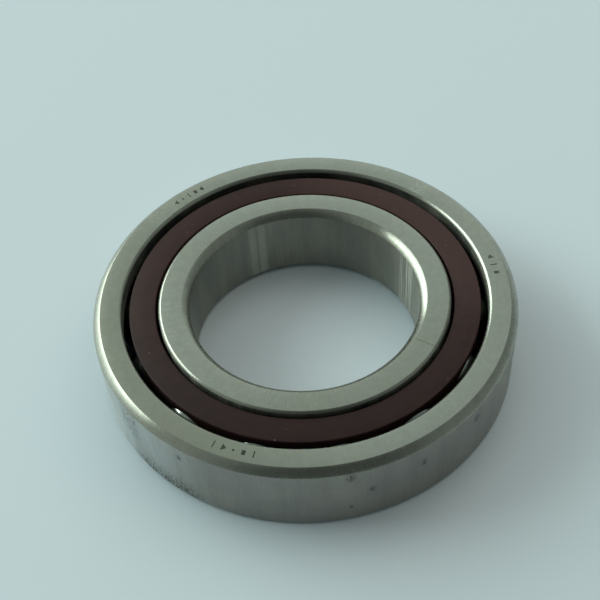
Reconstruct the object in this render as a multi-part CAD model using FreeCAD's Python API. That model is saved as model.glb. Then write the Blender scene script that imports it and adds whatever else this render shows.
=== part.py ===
"""Single-row angular contact ball bearing, 60 x 110 x 22 mm, 15 degree contact.

Row frame, in millimetres: +Z is the bearing's axis and the origin is on it, in the plane of the
outer ring's thin front face, which the bearing lies on. The outer ring's wide back face, with its
high shoulder, is at the top. Every part is turned about Z, so profiles are drawn as (radius, height).

Each part is written to parts/NODE.step: outer_ring, inner_ring, cage and ball_01 to ball_14.
"""
import FreeCAD, Part
import math
import os

# boundary size
bore_radius = 30.0
outer_radius = 55.0
width = 22.0

# balls and contact
ball_count = 14
ball_radius = 15.875 / 2
pitch_radius = 42.5
contact_angle = math.radians(15.0)
first_ball_angle = 20.6          # degrees from +X to the first ball
contact_gap = 0.06               # free play left between each ball and each groove
outer_groove_radius = 8.334      # 52.5 % of the ball's diameter
inner_groove_radius = 8.255      # 52 % of the ball's diameter

# outer ring
outer_high_shoulder = 47.5       # radius of the thrust shoulder, at the back face
outer_retaining_lip = 50.3       # radius of the lip that keeps the balls in, just under their reach
counterbore_mouth = 51.0         # radius of the tapered counterbore at the front face
counterbore_chamfer = 0.4
back_corner = (1.95, 1.85)       # corner break at the back face: radial, axial
front_corner = (1.25, 1.15)      # corner break at the front face

# inner ring
inner_shoulder = 38.0            # both shoulders have this radius
bore_corner = (1.9, 1.85)

corner_crown = 0.13              # how far each outside corner bulges from a straight chamfer
bore_crown = 0.19                # the same for the bore's corners
shoulder_corner = (0.75, 0.8)    # corner break where a shoulder meets a face
shoulder_crown = 0.10            # how far it bulges
groove_edge_break = 0.25         # chamfer where a groove meets a shoulder

# cage, a machined phenolic ring with radial pockets, guided by the balls
cage_inner_radius = 38.75
cage_outer_radius = 45.55
cage_recess = 1.0                # below each ring face
cage_edge_chamfer = 0.2
pocket_radius = 8.15
pocket_edge_chamfer = 0.2

ball_height = width / 2


def at(radius, height):
    """A point of a profile, in the XZ plane."""
    return FreeCAD.Vector(radius, 0, height)


def line(start, end):
    return Part.makeLine(start, end)


def arc(start, middle, end):
    return Part.Arc(start, middle, end).toShape()


def crowned(start, end, towards, crown=corner_crown):
    """A shallow arc from start to end that bulges by crown towards a point."""
    middle = (start + end) * 0.5
    chord = end - start
    outward = FreeCAD.Vector(-chord.z, 0, chord.x).normalize()
    if outward.dot(towards - middle) < 0:
        outward = outward * -1
    return arc(start, middle + outward * crown, end)


def on_circle(centre, radius, angle):
    return centre + FreeCAD.Vector(radius * math.cos(angle), 0, radius * math.sin(angle))


def turned(edges):
    """The solid that a closed profile sweeps in a full turn about Z."""
    face = Part.Face(Part.Wire(edges))
    solid = face.revolve(FreeCAD.Vector(0, 0, 0), FreeCAD.Vector(0, 0, 1), 360)
    if solid.Volume < 0:
        solid.reverse()
    return solid


def groove_centre(groove_radius, side):
    """Centre of a groove's arc. side is +1 for the outer ring and -1 for the inner ring, whose
    contact points lie on the contact line on either side of the ball."""
    offset = groove_radius - ball_radius - contact_gap
    along_contact = FreeCAD.Vector(math.cos(contact_angle), 0, math.sin(contact_angle))
    return at(pitch_radius, ball_height) - along_contact * (side * offset)


def groove_height(centre, groove_radius, radius, side):
    """Height at which a groove's arc reaches a radius, above (+1) or below (-1) its centre."""
    return centre.z + side * math.sqrt(groove_radius**2 - (radius - centre.x) ** 2)


def make_outer_ring():
    centre = groove_centre(outer_groove_radius, +1)
    shoulder_z = groove_height(centre, outer_groove_radius, outer_high_shoulder, +1)
    broken_radius = outer_high_shoulder + groove_edge_break
    broken_z = groove_height(centre, outer_groove_radius, broken_radius, +1)
    lip_z = groove_height(centre, outer_groove_radius, outer_retaining_lip, -1)

    front_out = at(outer_radius - front_corner[0], 0)
    side_low = at(outer_radius, front_corner[1])
    side_high = at(outer_radius, width - back_corner[1])
    back_out = at(outer_radius - back_corner[0], width)
    back_in = at(outer_high_shoulder + shoulder_corner[0], width)
    shoulder_top = at(outer_high_shoulder, width - shoulder_corner[1])
    shoulder_low = at(outer_high_shoulder, shoulder_z + groove_edge_break)
    groove_top = at(broken_radius, broken_z)
    groove_bottom = on_circle(centre, outer_groove_radius, 0)
    lip = at(outer_retaining_lip, lip_z)
    lip_end = at(outer_retaining_lip, lip_z - groove_edge_break)
    mouth = at(counterbore_mouth, counterbore_chamfer)
    mouth_out = at(counterbore_mouth + counterbore_chamfer, 0)
    return turned([
        line(mouth_out, front_out),
        crowned(front_out, side_low, at(outer_radius, 0)),
        line(side_low, side_high),
        crowned(side_high, back_out, at(outer_radius, width)),
        line(back_out, back_in),
        crowned(back_in, shoulder_top, at(outer_high_shoulder, width), shoulder_crown),
        line(shoulder_top, shoulder_low),
        line(shoulder_low, groove_top),
        arc(groove_top, groove_bottom, lip),
        line(lip, lip_end),
        line(lip_end, mouth),
        line(mouth, mouth_out),
    ])


def make_inner_ring():
    centre = groove_centre(inner_groove_radius, -1)
    broken_radius = inner_shoulder - groove_edge_break
    low_z = groove_height(centre, inner_groove_radius, inner_shoulder, -1)
    high_z = groove_height(centre, inner_groove_radius, inner_shoulder, +1)
    broken_low = groove_height(centre, inner_groove_radius, broken_radius, -1)
    broken_high = groove_height(centre, inner_groove_radius, broken_radius, +1)
    face_radius = inner_shoulder - shoulder_corner[0]

    bore_low = at(bore_radius, bore_corner[1])
    face_low_in = at(bore_radius + bore_corner[0], 0)
    face_low_out = at(face_radius, 0)
    shoulder_foot = at(inner_shoulder, shoulder_corner[1])
    groove_low = at(inner_shoulder, low_z - groove_edge_break)
    groove_start = at(broken_radius, broken_low)
    groove_bottom = on_circle(centre, inner_groove_radius, math.pi)
    groove_end = at(broken_radius, broken_high)
    groove_high = at(inner_shoulder, high_z + groove_edge_break)
    shoulder_top = at(inner_shoulder, width - shoulder_corner[1])
    face_high_out = at(face_radius, width)
    face_high_in = at(bore_radius + bore_corner[0], width)
    bore_high = at(bore_radius, width - bore_corner[1])
    return turned([
        crowned(bore_low, face_low_in, at(bore_radius, 0), bore_crown),
        line(face_low_in, face_low_out),
        crowned(face_low_out, shoulder_foot, at(inner_shoulder, 0), shoulder_crown),
        line(shoulder_foot, groove_low),
        line(groove_low, groove_start),
        arc(groove_start, groove_bottom, groove_end),
        line(groove_end, groove_high),
        line(groove_high, shoulder_top),
        crowned(shoulder_top, face_high_out, at(inner_shoulder, width), shoulder_crown),
        line(face_high_out, face_high_in),
        crowned(face_high_in, bore_high, at(bore_radius, width), bore_crown),
        line(bore_high, bore_low),
    ])


def ball_angle(number):
    """Angle of a ball about Z, in degrees, for numbers from 0."""
    return first_ball_angle + number * 360.0 / ball_count


def make_cage():
    low, high = cage_recess, width - cage_recess
    inner, outer, chamfer = cage_inner_radius, cage_outer_radius, cage_edge_chamfer
    corners = [
        at(inner + chamfer, low), at(outer - chamfer, low),
        at(outer, low + chamfer), at(outer, high - chamfer),
        at(outer - chamfer, high), at(inner + chamfer, high),
        at(inner, high - chamfer), at(inner, low + chamfer),
    ]
    edges = [line(a, b) for a, b in zip(corners, corners[1:] + corners[:1])]
    ring = turned(edges)
    pockets = []
    for number in range(ball_count):
        angle = math.radians(ball_angle(number))
        outward = FreeCAD.Vector(math.cos(angle), math.sin(angle), 0)
        start = outward * (pitch_radius / 2) + FreeCAD.Vector(0, 0, ball_height)
        pockets.append(Part.makeCylinder(pocket_radius, pitch_radius, start, outward))
    bored = ring.cut(Part.makeCompound(pockets))
    bored = bored.Solids[0]
    rims = [edge for edge in bored.Edges if on_outer_rim(edge)]
    return bored.makeChamfer(pocket_edge_chamfer, rims)


def on_outer_rim(edge):
    """Whether an edge is the rim of a pocket on the cage's outer wall."""
    points = edge.discretize(9)
    at_outer = all(abs(math.hypot(p.x, p.y) - cage_outer_radius) < 1e-3 for p in points)
    near_pocket = all(abs(p.z - ball_height) < pocket_radius + 1e-3 for p in points)
    heights = [p.z for p in points]
    return at_outer and near_pocket and max(heights) - min(heights) > 1e-3


def make_ball(number):
    angle = math.radians(ball_angle(number))
    centre = FreeCAD.Vector(
        pitch_radius * math.cos(angle), pitch_radius * math.sin(angle), ball_height
    )
    return Part.makeSphere(ball_radius, centre)


def export(name, shape):
    if not shape.isValid() or shape.Volume <= 0:
        raise RuntimeError(f"{name} is not a valid solid")
    shape.exportStep(f"parts/{name}.step")
    box = shape.BoundBox
    print(f"{name}: {shape.Volume / 1000:.2f} cm3, {box.XLength:.2f} x {box.ZLength:.2f} mm")


os.makedirs("parts", exist_ok=True)
export("outer_ring", make_outer_ring())
export("inner_ring", make_inner_ring())
export("cage", make_cage())
for ball in range(ball_count):
    export(f"ball_{ball + 1:02d}", make_ball(ball))
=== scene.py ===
import math

import bmesh
import bpy
from mathutils import Matrix, Quaternion, Vector


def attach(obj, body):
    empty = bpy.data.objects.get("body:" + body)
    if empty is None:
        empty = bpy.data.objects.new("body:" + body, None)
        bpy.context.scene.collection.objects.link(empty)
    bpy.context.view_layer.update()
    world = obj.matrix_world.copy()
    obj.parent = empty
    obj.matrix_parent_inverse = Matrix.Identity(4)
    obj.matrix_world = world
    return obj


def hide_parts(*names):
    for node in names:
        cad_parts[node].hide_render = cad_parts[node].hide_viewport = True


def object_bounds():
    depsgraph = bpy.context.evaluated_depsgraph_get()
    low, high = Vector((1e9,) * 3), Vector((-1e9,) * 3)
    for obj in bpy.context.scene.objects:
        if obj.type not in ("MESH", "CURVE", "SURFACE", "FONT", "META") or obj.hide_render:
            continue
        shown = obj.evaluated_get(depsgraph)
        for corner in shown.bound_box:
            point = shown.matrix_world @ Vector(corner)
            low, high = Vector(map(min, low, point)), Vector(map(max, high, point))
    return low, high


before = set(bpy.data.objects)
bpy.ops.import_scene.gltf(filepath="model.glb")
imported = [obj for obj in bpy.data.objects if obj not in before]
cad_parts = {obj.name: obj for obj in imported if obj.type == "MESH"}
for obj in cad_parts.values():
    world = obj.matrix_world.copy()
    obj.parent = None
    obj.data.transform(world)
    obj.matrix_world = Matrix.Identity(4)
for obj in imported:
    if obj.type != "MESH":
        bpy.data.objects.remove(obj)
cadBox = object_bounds()

mm = 0.001  # outlines are drawn in millimetres, meshes are in metres
objectOutput = 3  # the Texture Coordinate node's Object output
directionOutput = 0  # its Generated output, which in a world is the direction looked in
turned90 = 0.25  # of a turn: grinding marks run round the axis
lightTint = (0.84, 1.0, 0.92)
warmTint = (1.0, 0.93, 0.78)


class Field:  # one shader socket; arithmetic on it adds Math nodes
    def __init__(self, tree, socket=None):
        self.tree = tree
        self.socket = socket

    def node(self, kind, settings=None, inputs=None, output=0):  # any other node
        made = self.tree.nodes.new(kind)
        for name, value in (settings or {}).items():
            setattr(made, name, value)
        for name, value in (inputs or {}).items():
            if isinstance(value, Field):
                self.tree.links.new(value.socket, made.inputs[name])
            else:
                made.inputs[name].default_value = value
        return Field(self.tree, made.outputs[output] if made.outputs else None)

    def maths(self, operation, *values):
        return self.node("ShaderNodeMath", {"operation": operation}, dict(enumerate(values)))

    def __add__(self, other):
        return self.maths("ADD", self, other)

    def __radd__(self, other):
        return self.maths("ADD", other, self)

    def __sub__(self, other):
        return self.maths("SUBTRACT", self, other)

    def __rsub__(self, other):
        return self.maths("SUBTRACT", other, self)

    def __mul__(self, other):
        return self.maths("MULTIPLY", self, other)

    def __truediv__(self, other):
        return self.maths("DIVIDE", self, other)

    def __pow__(self, other):
        return self.maths("POWER", self, other)


def smooth(value, low, high):  # 0 below low, 1 above high, eased between
    settings = {"interpolation_type": "SMOOTHSTEP", "clamp": True}
    inputs = {"Value": value, "From Min": low, "From Max": high}
    if high < low:
        inputs = {"Value": value, "From Min": high, "From Max": low, "To Min": 1.0, "To Max": 0.0}
    return value.node("ShaderNodeMapRange", settings, inputs)


def between(value, low, high, edge):  # 1 inside a range, 0 outside it
    return smooth(value, low - edge, low + edge) * smooth(value, high + edge, high - edge)


def vector(x, y, z):
    source = next(part for part in (x, y, z) if isinstance(part, Field))
    return source.node("ShaderNodeCombineXYZ", {}, {"X": x, "Y": y, "Z": z})


def noise(place, scale=1.0, detail=2.0, rough=0.5):
    inputs = {"Vector": place, "Scale": scale, "Detail": detail, "Roughness": rough}
    return place.node("ShaderNodeTexNoise", {}, inputs)


def mixed(mask, first, second):  # two colours
    inputs = {0: mask, 6: first, 7: second}  # the factor, and the node's colour sockets
    return mask.node("ShaderNodeMix", {"data_type": "RGBA"}, inputs, 2)


def colour(red, green, blue):
    return (red, green, blue, 1.0)


def bump(height, distance, strength):
    inputs = {"Height": height, "Distance": distance, "Strength": strength}
    return height.node("ShaderNodeBump", {}, inputs)


def startMaterial(name):
    material = bpy.data.materials.new(name)
    material.use_nodes = True
    material.node_tree.nodes.clear()
    return material, Field(material.node_tree)


def finishMaterial(start, inputs):
    shader = start.node("ShaderNodeBsdfPrincipled", {}, inputs)
    start.node("ShaderNodeOutputMaterial", {}, {"Surface": shader})


class Place:  # where a point is on the bearing, in millimetres about its axis
    def __init__(self, start):
        point = start.node("ShaderNodeTexCoord", {}, {}, objectOutput)
        self.inMm = start.node("ShaderNodeVectorMath", {"operation": "SCALE"},
                               {0: point, "Scale": 1 / mm})
        split = start.node("ShaderNodeSeparateXYZ", {}, {"Vector": self.inMm}).socket.node
        self.x, self.y, self.z = (Field(start.tree, out) for out in split.outputs)
        self.r = (self.x * self.x + self.y * self.y) ** 0.5
        self.cos = self.x / self.r
        self.sin = self.y / self.r

    def around(self, turns, along):  # wraps round the axis: fine around, stretched along
        return vector(self.cos * turns, self.sin * turns, along)


steelFinish = {  # colour and roughness of each surface of a ring
    "corner": ((0.385, 0.385, 0.34), 0.27),
    "face": ((0.425, 0.425, 0.385), 0.21),
    "side": ((0.32, 0.305, 0.285), 0.38),
    "paleSide": ((0.49, 0.51, 0.51), 0.36),  # stands in for light off the floor
    "bore": ((0.31, 0.31, 0.28), 0.42),
    # painted shade: a near-black tint for the walls down in the gaps, where shade falls
    "wall": ((0.065, 0.068, 0.058), 0.62),
    "track": ((0.60, 0.61, 0.59), 0.10),
    "etched": ((0.055, 0.060, 0.055), 0.55),
}


def makeRingSteel(name, zones, seed, marks):  # zones: pairs of a finish and where it is
    material, start = startMaterial(name)
    place = Place(start)
    tint, rough = start.node("ShaderNodeRGB"), start.node("ShaderNodeValue")
    tint.socket.default_value = colour(*steelFinish["corner"][0])
    rough.socket.default_value = steelFinish["corner"][1]
    for finish, where in zones:
        mask = where(place)
        tint = mixed(mask, tint, colour(*steelFinish[finish][0]))
        rough = rough + mask * (rough * -1.0 + steelFinish[finish][1])
    onFace = smooth(place.z, 21.9, 21.99)
    upright = onFace * -1.0 + 1.0
    cloud = noise(place.around(2.6 + seed, place.r * 0.12 + place.z * 0.08), 1.0, 4.0, 0.6)
    tint = mixed(smooth(cloud, 0.42, 0.62) * 0.30, tint, colour(0.44, 0.41, 0.34))
    grain = noise(place.inMm, 0.55, 5.0, 0.68)  # faint mottling of the ground faces
    tint = mixed(smooth(grain, 0.40, 0.62) * onFace * 0.16, tint, colour(0.60, 0.60, 0.54))
    streak = noise(place.around(11.0 + seed, place.r * 0.08 + place.z * 0.03), 1.0, 5.0, 0.62)
    tint = mixed(smooth(streak, 0.44, 0.64) * (upright * 0.17 + 0.05), tint,
                 colour(0.20, 0.195, 0.18))
    scratch = noise(place.around(300.0 + seed, place.r * 0.9 + place.z * 0.25), 1.0, 2.0)
    tint = mixed(smooth(scratch, 0.58, 0.76) * 0.18, tint, colour(0.72, 0.74, 0.66))
    lathe = noise(vector(place.r * 7.0 + place.z * 7.0, place.cos * 3.0, place.sin * 3.0), 1.0, 2.0)
    rough = rough + (streak - 0.5) * 0.12 + (grain - 0.5) * 0.10
    pale, stain, darkening = marks(place)
    tint = mixed(darkening, tint, colour(0.27, 0.27, 0.20))
    tint = mixed(pale, tint, colour(0.62, 0.63, 0.57))
    tint = mixed(stain, tint, colour(0.10, 0.105, 0.095))
    rough = rough + (pale + stain) * 0.12
    relief = streak * 0.75 + lathe * 0.15 + scratch * 0.10
    inputs = {
        "Base Color": tint,
        "Metallic": 1.0,
        "Roughness": rough,
        "Anisotropic": 0.8,
        "Anisotropic Rotation": turned90,
        "Normal": bump(relief, 0.00003, 0.30),
    }
    finishMaterial(start, inputs)
    return material


def toward(place, angle, spread):  # 1 along a direction from the axis, 0 spread degrees away
    aim = math.radians(angle)
    facing = place.cos * math.cos(aim) + place.sin * math.sin(aim)
    return smooth(facing, math.cos(math.radians(spread)), math.cos(math.radians(spread * 0.3)))


stains = (  # angle about the axis, height and size in mm
    (278.0, 18.6, 1.5),
    (278.0, 6.0, 0.7),
    (297.5, 14.3, 1.1),
    (315.5, 16.2, 1.3),
    (283.5, 12.0, 1.1),
    (234.0, 16.8, 0.9),
)


def outerMarks(place):  # pale scuffs, and dark stains on the outside wall
    grain = noise(place.inMm, 1.3, 4.0, 0.7)
    fine = noise(vector(place.x * 2.6, place.y * 2.6, place.z * 0.9), 1.0, 3.0, 0.65)
    scuff = toward(place, 227, 15) * smooth(place.z, 9.0, 1.0) * smooth(fine, 0.42, 0.56) * 1.2
    rub = toward(place, 215, 5) * between(place.z, 9.5, 19.5, 1.5) * smooth(fine, 0.46, 0.62)
    dark = scuff + rub * 0.9
    for angle, height, size in stains:
        aim = math.radians(angle)
        across = (place.sin * math.cos(aim) - place.cos * math.sin(aim)) * outerRing["radius"]
        along = (place.z - height) * 0.7
        near = (across * across + along * along) ** 0.5
        front = toward(place, angle, 30)  # keeps it off the far side of the ring
        dark = dark + smooth(near, size * 1.2, size * 0.1) * front * smooth(fine, 0.36, 0.54)
    dark = dark * smooth(place.r, 54.2, 54.6) * 0.85
    onFace = smooth(place.z, 21.9, 21.97)
    pale = (toward(place, 47, 3.2) + toward(place, 137, 7) * 0.6) * smooth(grain, 0.40, 0.62)
    # a darker, yellower face toward 212° and, weaker, toward 130°
    darkerFace = toward(place, 212, 75) * onFace * 0.40 + toward(place, 130, 45) * onFace * 0.12
    return pale * onFace * 0.45, dark, darkerFace


def innerMarks(place):  # painted highlights: pale bands and bright streaks down the bore; pale and dark fine lines across the face
    inBore = smooth(place.r, 30.05, 30.02)
    onFace = smooth(place.z, 21.9, 21.97)
    hair = noise(place.around(520.0, place.r * 0.35), 1.0, 2.0)
    lines = toward(place, 190, 22) + toward(place, 256, 38)
    # painted highlight: two pale bands down the bore at 111° and 116°, where a light's reflection falls
    pale = (toward(place, 111.0, 2.8) + toward(place, 116.2, 2.8) * 0.8) * inBore * 0.5
    glints = smooth(noise(place.around(70.0, place.z * 0.02), 1.0, 2.0), 0.46, 0.62)
    # painted highlight: bright streaks down the bore toward 21°, where the window's reflection falls
    pale = pale + toward(place, 21, 12) * inBore * glints * 0.8
    pale = pale + smooth(hair, 0.58, 0.70) * lines * onFace * 0.5
    dark = smooth(hair, 0.42, 0.30) * lines * onFace * 0.35 + toward(place, 327, 0.6) * onFace * 0.25
    # a darker, yellower face toward 300°
    darkerFace = toward(place, 300, 60) * onFace * 0.18
    return pale, dark, darkerFace


def makeBallSteel():
    material, start = startMaterial("ballSteel")
    place = Place(start)
    darkening = noise(place.inMm, 0.25, 3.0)
    tint = mixed(darkening, colour(0.42, 0.43, 0.42), colour(0.36, 0.37, 0.35))
    finishMaterial(start, {"Base Color": tint, "Metallic": 1.0, "Roughness": darkening * 0.08 + 0.10})
    return material


def makePhenolic():
    material, start = startMaterial("cagePhenolic")
    place = Place(start)
    wraps = noise(vector(place.r * 3.2, place.cos * 6.0, place.sin * 6.0), 1.0, 2.0)
    threads = noise(place.around(90.0, place.z * 2.2 + place.r * 1.2), 1.0, 2.0)
    mottle = noise(place.inMm, 0.30, 4.0, 0.6)
    tone = wraps * 0.30 + threads * 0.25 + mottle * 0.45
    tint = mixed(smooth(tone, 0.38, 0.62), colour(0.028, 0.0108, 0.0106), colour(0.044, 0.0168, 0.0162))
    # painted light: the cage lighter toward 38° and, weaker, toward 155°, where light falls brighter on
    # it
    paintedLight = toward(place, 38, 62) * 0.55 + toward(place, 155, 50) * 0.15
    tint = mixed(paintedLight, tint, colour(0.082, 0.037, 0.034))
    # painted shade: the cage darker toward 268°, on its near side
    tint = mixed(toward(place, 268, 85) * 0.45, tint, colour(0.018, 0.0072, 0.0072))
    cells = place.inMm.node("ShaderNodeTexVoronoi", {}, {"Vector": place.inMm, "Scale": 0.33})
    chosen = cells.socket.node.outputs["Color"]
    pick = cells.node("ShaderNodeSeparateColor", {}, {"Color": Field(cells.tree, chosen)})
    lint = smooth(cells, 0.075, 0.03) * smooth(pick, 0.72, 0.74)
    tint = mixed(lint * 0.8, tint, colour(0.24, 0.20, 0.17))
    inputs = {
        "Base Color": tint,
        "Roughness": tone * 0.20 + 0.36,
        "Specular IOR Level": 0.26,
        "Anisotropic": 0.4,
        "Anisotropic Rotation": turned90,
        "Normal": bump(tone + lint * 0.6, 0.00006, 0.5),
    }
    finishMaterial(start, inputs)
    return material


def makeFloorPaper():
    material, start = startMaterial("floorPaper")
    point = start.node("ShaderNodeTexCoord", {}, {}, objectOutput)
    grain = noise(point, 900.0, 3.0)
    inputs = {
        "Base Color": colour(0.74, 0.82, 0.91),
        "Roughness": 0.75,
        "Normal": bump(grain, 0.0001, 0.25),
    }
    finishMaterial(start, inputs)
    return material


def finishPiece(bm, name, material, body, replaced, sharpAngle=32.0):
    bmesh.ops.transform(bm, matrix=Matrix.Scale(mm, 4), verts=bm.verts)
    bmesh.ops.recalc_face_normals(bm, faces=bm.faces)
    mesh = bpy.data.meshes.new(name)
    bm.to_mesh(mesh)
    bm.free()
    mesh.shade_smooth()
    mesh.set_sharp_from_angle(angle=math.radians(sharpAngle))
    mesh.materials.append(material)
    piece = bpy.data.objects.new(name, mesh)
    bpy.context.scene.collection.objects.link(piece)
    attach(piece, body)
    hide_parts(replaced)
    print(name, len(mesh.polygons), "faces")


def arcPoints(centre, radius, first, last, steps):  # angles in degrees
    points = []
    for step in range(steps + 1):
        angle = math.radians(first + (last - first) * step / steps)
        points.append((centre[0] + radius * math.cos(angle), centre[1] + radius * math.sin(angle)))
    return points


def arcThrough(centre, radius, start, end, steps, side):  # side picks the arc's way round
    first = math.degrees(math.atan2(start[1] - centre[1], start[0] - centre[0]))
    last = math.degrees(math.atan2(end[1] - centre[1], end[0] - centre[0]))
    if side > 0 and last < first:
        last += 360.0
    if side < 0 and last > first:
        last -= 360.0
    return arcPoints(centre, radius, first, last, steps)


def crowned(start, end, bulge, steps=6):  # a corner break that swells to the right of its way
    length = math.dist(start, end)
    across = ((end[1] - start[1]) / length, -(end[0] - start[0]) / length)
    points = []
    for step in range(steps + 1):
        along = step / steps
        swell = 4 * bulge * along * (1 - along)
        points.append((start[0] + (end[0] - start[0]) * along + across[0] * swell,
                       start[1] + (end[1] - start[1]) * along + across[1] * swell))
    return points


def turned(outline, steps):  # a closed outline, anticlockwise in (radius, height), spun round Z
    bm = bmesh.new()
    corners = [bm.verts.new((radius, 0, height)) for radius, height in outline]
    edges = [bm.edges.new(pair) for pair in zip(corners, corners[1:] + corners[:1])]
    bmesh.ops.spin(bm, geom=corners + edges, cent=(0, 0, 0), axis=(0, 0, 1), dvec=(0, 0, 0),
                   angle=2 * math.pi, steps=steps, use_merge=True)
    bmesh.ops.remove_doubles(bm, verts=bm.verts, dist=0.001)
    bmesh.ops.recalc_face_normals(bm, faces=bm.faces)
    return bm


def breakEdges(bm, amount, sharper):  # rounds the turned edges sharper than an angle
    limit = math.radians(sharper)
    edges = [edge for edge in bm.edges
             if len(edge.link_faces) == 2 and edge.calc_face_angle() > limit]
    bmesh.ops.bevel(bm, geom=edges, offset=amount, offset_type="OFFSET", segments=2,
                    profile=0.5, affect="EDGES", material=-1, clamp_overlap=True)


def asPiece(bm, name):  # a plain object, for cutting with
    mesh = bpy.data.meshes.new(name)
    bm.to_mesh(mesh)
    bm.free()
    piece = bpy.data.objects.new(name, mesh)
    bpy.context.scene.collection.objects.link(piece)
    return piece


def cutAway(bm, cutter):  # the first mesh less the second
    blank, tool = asPiece(bm, "blank"), asPiece(cutter, "tool")
    cut = blank.modifiers.new("cut", "BOOLEAN")
    cut.operation = "DIFFERENCE"
    cut.solver = "EXACT"
    cut.object = tool
    ready = blank.evaluated_get(bpy.context.evaluated_depsgraph_get())
    left = bmesh.new()
    left.from_mesh(ready.to_mesh())
    for scrap in (blank, tool):
        bpy.data.meshes.remove(scrap.data)
    return left


balls = {
    "count": 14,
    "radius": 7.9375,
    "pitch": 42.5,
    "contact": 15.0,
    "first": 20.6,
    "gap": 0.06,
}
balls["height"] = (cadBox[1].z - cadBox[0].z) / mm / 2


def grooveCentre(radius, side):  # side is 1 for the outer ring's groove and -1 for the inner's
    offset = (radius - balls["radius"] - balls["gap"]) * side
    angle = math.radians(balls["contact"])
    return balls["pitch"] - offset * math.cos(angle), balls["height"] - offset * math.sin(angle)


def grooveAt(centre, groove, radius, side):  # where a groove reaches a radius, above or below
    return radius, centre[1] + side * math.sqrt(groove**2 - (radius - centre[0]) ** 2)


def makeBalls(material):
    for number in range(balls["count"]):
        bm = bmesh.new()
        bmesh.ops.create_icosphere(bm, subdivisions=5, radius=balls["radius"])
        angle = math.radians(balls["first"] + number * 360.0 / balls["count"])
        place = (balls["pitch"] * math.cos(angle), balls["pitch"] * math.sin(angle), balls["height"])
        bmesh.ops.translate(bm, vec=place, verts=bm.verts)
        node = f"ball_{number + 1:02d}"
        finishPiece(bm, node + "_lapped", material, node, node, 80.0)


outerRing = {
    "radius": (cadBox[1].x - cadBox[0].x) / mm / 2,
    "width": (cadBox[1].z - cadBox[0].z) / mm,
    "shoulder": 47.5,
    "shoulderCorner": (0.75, 0.8),
    "shoulderCrown": 0.10,
    "groove": 8.334,
    "grooveBreak": 0.25,
    "lip": 50.3,
    "mouth": 51.0,
    "mouthChamfer": 0.4,
    "backCorner": (1.95, 1.85),
    "frontCorner": (1.25, 1.15),
    "crown": 0.13,
    "edgeBreak": 0.07,
    "grooveSteps": 26,
    "sharper": 20.0,
    "steps": 360,
}


etching = {
    "depth": 0.05,
    "radius": 50.6,
    "signs": {"bar": (1.9, 0.30), "block": (1.3, 0.95), "wedge": (1.05, 0.85), "dot": (0.6, 0.5)},
    "groups": (  # first angle and step
        (122.1, 2.45, ("wedge", "block", "bar", "dot", "wedge")),
        (3.3, 3.2, ("block", "bar", "wedge")),
        (242.3, 2.85, ("bar", "wedge", "dot", "block", "bar")),
    ),
}


def etchTool():  # plain signs in place of lettering: radial and angular sizes in mm
    spec = etching
    tool = bmesh.new()
    for first, step, signs in spec["groups"]:
        for number, sign in enumerate(signs):
            tall, wide = spec["signs"][sign]
            shape = Matrix.Diagonal((tall, wide, spec["depth"] * 2, 1))
            turn = Matrix.Rotation(math.radians(first + number * step), 4, "Z")
            put = Matrix.Translation((spec["radius"], 0, outerRing["width"]))
            if sign == "wedge":
                bmesh.ops.create_cone(tool, cap_ends=True, segments=3, radius1=1.0, radius2=1.0,
                                      depth=1.0, matrix=turn @ put @ shape)
            else:
                bmesh.ops.create_cube(tool, size=1.0, matrix=turn @ put @ shape)
    return tool


def makeOuterRing(material):
    spec = outerRing
    radius, width = spec["radius"], spec["width"]
    centre = grooveCentre(spec["groove"], 1)
    shoulder, rim = spec["shoulder"], spec["grooveBreak"]
    shoulderR, shoulderDrop = spec["shoulderCorner"]
    shoulderZ = grooveAt(centre, spec["groove"], shoulder, 1)[1]
    grooveTop = grooveAt(centre, spec["groove"], shoulder + rim, 1)
    lip = grooveAt(centre, spec["groove"], spec["lip"], -1)
    mouth, chamfer = spec["mouth"], spec["mouthChamfer"]
    frontR, frontZ = spec["frontCorner"]
    backR, backZ = spec["backCorner"]
    outline = [(mouth, chamfer), (mouth + chamfer, 0)]
    outline += crowned((radius - frontR, 0), (radius, frontZ), spec["crown"])
    outline += crowned((radius, width - backZ), (radius - backR, width), spec["crown"])
    outline += crowned((shoulder + shoulderR, width), (shoulder, width - shoulderDrop),
                       spec["shoulderCrown"])
    outline += [(shoulder, shoulderZ + rim)]
    outline += arcThrough(centre, spec["groove"], grooveTop, lip, spec["grooveSteps"], -1)
    outline += [(spec["lip"], lip[1] - rim)]
    bm = turned(outline, spec["steps"])
    breakEdges(bm, spec["edgeBreak"], spec["sharper"])
    bm = cutAway(bm, etchTool())
    finishPiece(bm, "outer_ring_ground", material, "outer_ring", "outer_ring")


innerRing = {
    "bore": 30.0,
    "shoulder": 38.0,
    "shoulderCorner": (0.75, 0.8),
    "shoulderCrown": 0.10,
    "groove": 8.255,
    "grooveBreak": 0.25,
    "boreCorner": (1.9, 1.85),
    "crown": 0.19,
    "edgeBreak": 0.07,
    "grooveSteps": 26,
    "sharper": 20.0,
    "steps": 300,
}


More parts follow.
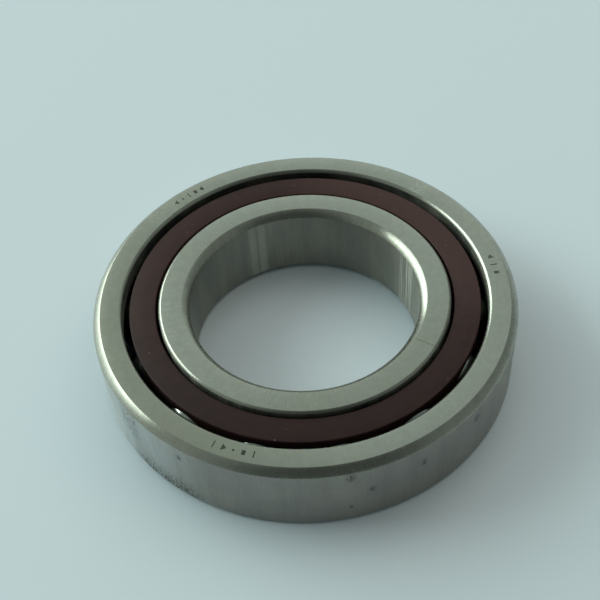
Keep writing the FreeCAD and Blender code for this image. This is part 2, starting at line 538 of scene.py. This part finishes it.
def makeInnerRing(material):
    spec = innerRing
    width = outerRing["width"]
    bore, shoulder = spec["bore"], spec["shoulder"]
    shoulderR, shoulderRise = spec["shoulderCorner"]
    cornerR, cornerZ = spec["boreCorner"]
    centre = grooveCentre(spec["groove"], -1)
    rim = spec["grooveBreak"]
    lowZ = grooveAt(centre, spec["groove"], shoulder, -1)[1] - rim
    highZ = grooveAt(centre, spec["groove"], shoulder, 1)[1] + rim
    grooveLow = grooveAt(centre, spec["groove"], shoulder - rim, -1)
    grooveHigh = grooveAt(centre, spec["groove"], shoulder - rim, 1)
    outline = crowned((bore, cornerZ), (bore + cornerR, 0), spec["crown"])
    outline += crowned((shoulder - shoulderR, 0), (shoulder, shoulderRise), spec["shoulderCrown"])
    outline += [(shoulder, lowZ)]
    outline += arcThrough(centre, spec["groove"], grooveLow, grooveHigh, spec["grooveSteps"], -1)
    outline += [(shoulder, highZ)]
    outline += crowned((shoulder, width - shoulderRise), (shoulder - shoulderR, width),
                       spec["shoulderCrown"])
    outline += crowned((bore + cornerR, width), (bore, width - cornerZ), spec["crown"])
    bm = turned(outline, spec["steps"])
    breakEdges(bm, spec["edgeBreak"], spec["sharper"])
    finishPiece(bm, "inner_ring_ground", material, "inner_ring", "inner_ring")


cage = {
    "inner": 38.75,
    "outer": 45.55,
    "recess": 1.0,
    "chamfer": 0.2,
    "edgeBreak": 0.05,
    "sharper": 25.0,
    "pocket": 8.15,
    "pocketSides": 96,
    "drill": 19.0,
    "steps": 336,
}


def makeCage(material):
    spec = cage
    low, high = spec["recess"], outerRing["width"] - spec["recess"]
    inner, outer, chamfer = spec["inner"], spec["outer"], spec["chamfer"]
    outline = [(inner + chamfer, low), (outer - chamfer, low), (outer, low + chamfer),
               (outer, high - chamfer), (outer - chamfer, high), (inner + chamfer, high),
               (inner, high - chamfer), (inner, low + chamfer)]
    bm = turned(outline, spec["steps"])
    breakEdges(bm, spec["edgeBreak"], spec["sharper"])
    drill = bmesh.new()
    lay = Matrix.Translation((balls["pitch"], 0, balls["height"])) @ Matrix.Rotation(math.pi / 2, 4, "Y")
    for number in range(balls["count"]):
        angle = balls["first"] + number * 360.0 / balls["count"]
        turn = Matrix.Rotation(math.radians(angle), 4, "Z")
        bmesh.ops.create_cone(drill, cap_ends=True, segments=spec["pocketSides"],
                              radius1=spec["pocket"], radius2=spec["pocket"],
                              depth=spec["drill"], matrix=turn @ lay)
    bm = cutAway(bm, drill)
    finishPiece(bm, "cage_machined", material, "cage", "cage")


floorReach = 8.0  # metres each way
floorDrop = 0.00002  # metres, so that it doesn't share a plane with the lower faces


def makeFloor():
    bm = bmesh.new()
    bmesh.ops.create_grid(bm, x_segments=1, y_segments=1, size=floorReach)
    bmesh.ops.translate(bm, vec=(0, 0, -floorDrop), verts=bm.verts)
    mesh = bpy.data.meshes.new("floor")
    bm.to_mesh(mesh)
    bm.free()
    mesh.materials.append(makeFloorPaper())
    floor = bpy.data.objects.new("floor", mesh)
    bpy.context.scene.collection.objects.link(floor)


def onSphere(azimuth, elevation, distance=1.0):
    flat = math.cos(math.radians(elevation)) * distance
    return Vector((flat * math.cos(math.radians(azimuth)), flat * math.sin(math.radians(azimuth)),
                   math.sin(math.radians(elevation)) * distance))


softLights = {  # angles in degrees, lengths in metres, power in watts
    "windowLight": {"azimuth": 149, "elevation": 25, "distance": 3.9, "width": 4.50,
                    "height": 1.60, "power": 90.0, "tint": lightTint, "lean": 30.0, "mirrored": True},
    "fillLight": {"azimuth": 30, "elevation": 65, "distance": 1.4, "width": 1.4,
                  "height": 1.4, "power": 4.0, "tint": warmTint, "lean": 0.0, "mirrored": False},
}


def addSoftLight(name, spec):
    light = bpy.data.lights.new(name, "AREA")
    light.shape = "RECTANGLE"
    light.size = spec["width"]
    light.size_y = spec["height"]
    light.energy = spec["power"]
    light.color = spec["tint"]
    lamp = bpy.data.objects.new(name, light)
    lamp.location = onSphere(spec["azimuth"], spec["elevation"], spec["distance"])
    facing = (-lamp.location).to_track_quat("-Z", "Y")
    lean = Quaternion((0, 0, 1), math.radians(spec["lean"]))
    lamp.rotation_euler = (facing @ lean).to_euler()
    lamp.visible_glossy = spec["mirrored"]
    bpy.context.scene.collection.objects.link(lamp)


def makeRoom():
    world = bpy.data.worlds.new("studio")
    bpy.context.scene.world = world
    world.use_nodes = True
    world.node_tree.nodes.clear()
    start = Field(world.node_tree)
    way = start.node("ShaderNodeTexCoord", {}, {}, directionOutput)

    def lobe(azimuth, elevation, outer, inner):  # 1 within inner degrees of a direction
        aim = tuple(onSphere(azimuth, elevation))
        facing = way.node("ShaderNodeVectorMath", {"operation": "DOT_PRODUCT"}, {0: way, 1: aim}, 1)
        return smooth(facing, math.cos(math.radians(outer)), math.cos(math.radians(inner)))

    level = 0.245 + lobe(90, 30, 62, 30) * 0.31 + lobe(90, 2, 48, 12) * 0.28
    level = level * (1.0 - lobe(270, 25, 60, 25) * 0.66)
    level = level + lobe(185, 30, 60, 20) * 0.13 + lobe(148, 25, 34, 14) * 0.90
    seen = way.node("ShaderNodeLightPath")  # 1 where the camera sees the room itself
    level = level * (1.0 - seen) + seen * 0.7
    sky = level.node("ShaderNodeBackground", {}, {"Color": colour(*lightTint), "Strength": level})
    start.node("ShaderNodeOutputWorld", {}, {"Surface": sky})


def makeCamera():
    view = {"elevation": 48.41, "distance": 0.2994, "aim": (-0.00116, 0.00769, 0.011),
            "roll": 3.95, "lens": 66.2}
    back = onSphere(270, view["elevation"])
    right = Vector((1, 0, 0))
    down = right.cross(back)
    roll = math.radians(view["roll"])
    tiltedRight = right * math.cos(roll) + down * math.sin(roll)
    tiltedUp = right * math.sin(roll) - down * math.cos(roll)
    data = bpy.data.cameras.new("camera")
    data.lens = view["lens"]
    data.sensor_width = 36.0
    data.clip_start = 0.01
    camera = bpy.data.objects.new("camera", data)
    turn = Matrix((tiltedRight, tiltedUp, back)).transposed().to_4x4()
    camera.matrix_world = Matrix.Translation(Vector(view["aim"]) + back * view["distance"]) @ turn
    bpy.context.scene.collection.objects.link(camera)
    bpy.context.scene.camera = camera


outerZones = (  # finish, and where it is, in mm; a later one covers those before it
    ("face", lambda place: smooth(place.z, 21.95, 21.99) + smooth(place.z, 0.05, 0.01)),
    ("side", lambda place: smooth(place.r, 54.96, 54.99)),
    ("paleSide", lambda place: smooth(place.r, 54.96, 54.99) * toward(place, 207, 38)),
    # painted shade on the outer ring's shoulder wall below its corner
    ("wall", lambda place: smooth(place.r, 47.75, 47.6) * between(place.z, 17.1, 21.1, 0.15)),
    # painted shade low down inside the outer ring, by its lip
    ("wall", lambda place: smooth(place.r, 51.4, 51.3) * smooth(place.z, 4.9, 4.7)),
    ("track", lambda place: smooth(place.r, 50.6, 50.4) * between(place.z, 4.9, 17.2, 0.1)),
    ("etched", lambda place: between(place.r, 48.8, 52.6, 0.1) * between(place.z, 21.9, 21.97, 0.015)),
)
innerZones = (
    ("face", lambda place: smooth(place.z, 21.95, 21.99) + smooth(place.z, 0.05, 0.01)),
    ("bore", lambda place: smooth(place.r, 30.04, 30.01)),
    # painted shade on the inner ring's shoulder, down in the gap
    ("wall", lambda place: smooth(place.r, 37.7, 37.95)),
    ("track", lambda place: smooth(place.r, 34.4, 34.6) * between(place.z, 4.6, 17.5, 0.1)),
)
print("pieces")
makeBalls(makeBallSteel())
makeOuterRing(makeRingSteel("outerRingSteel", outerZones, 0.0, outerMarks))
makeInnerRing(makeRingSteel("innerRingSteel", innerZones, 3.7, innerMarks))
makeCage(makePhenolic())
makeFloor()
print("stage: floor")
for name, spec in softLights.items():
    addSoftLight(name, spec)
makeRoom()
print("light: ", len(softLights), "lamps and the room")
makeCamera()
print("camera in place")
bpy.context.scene.view_settings.view_transform = "Standard"
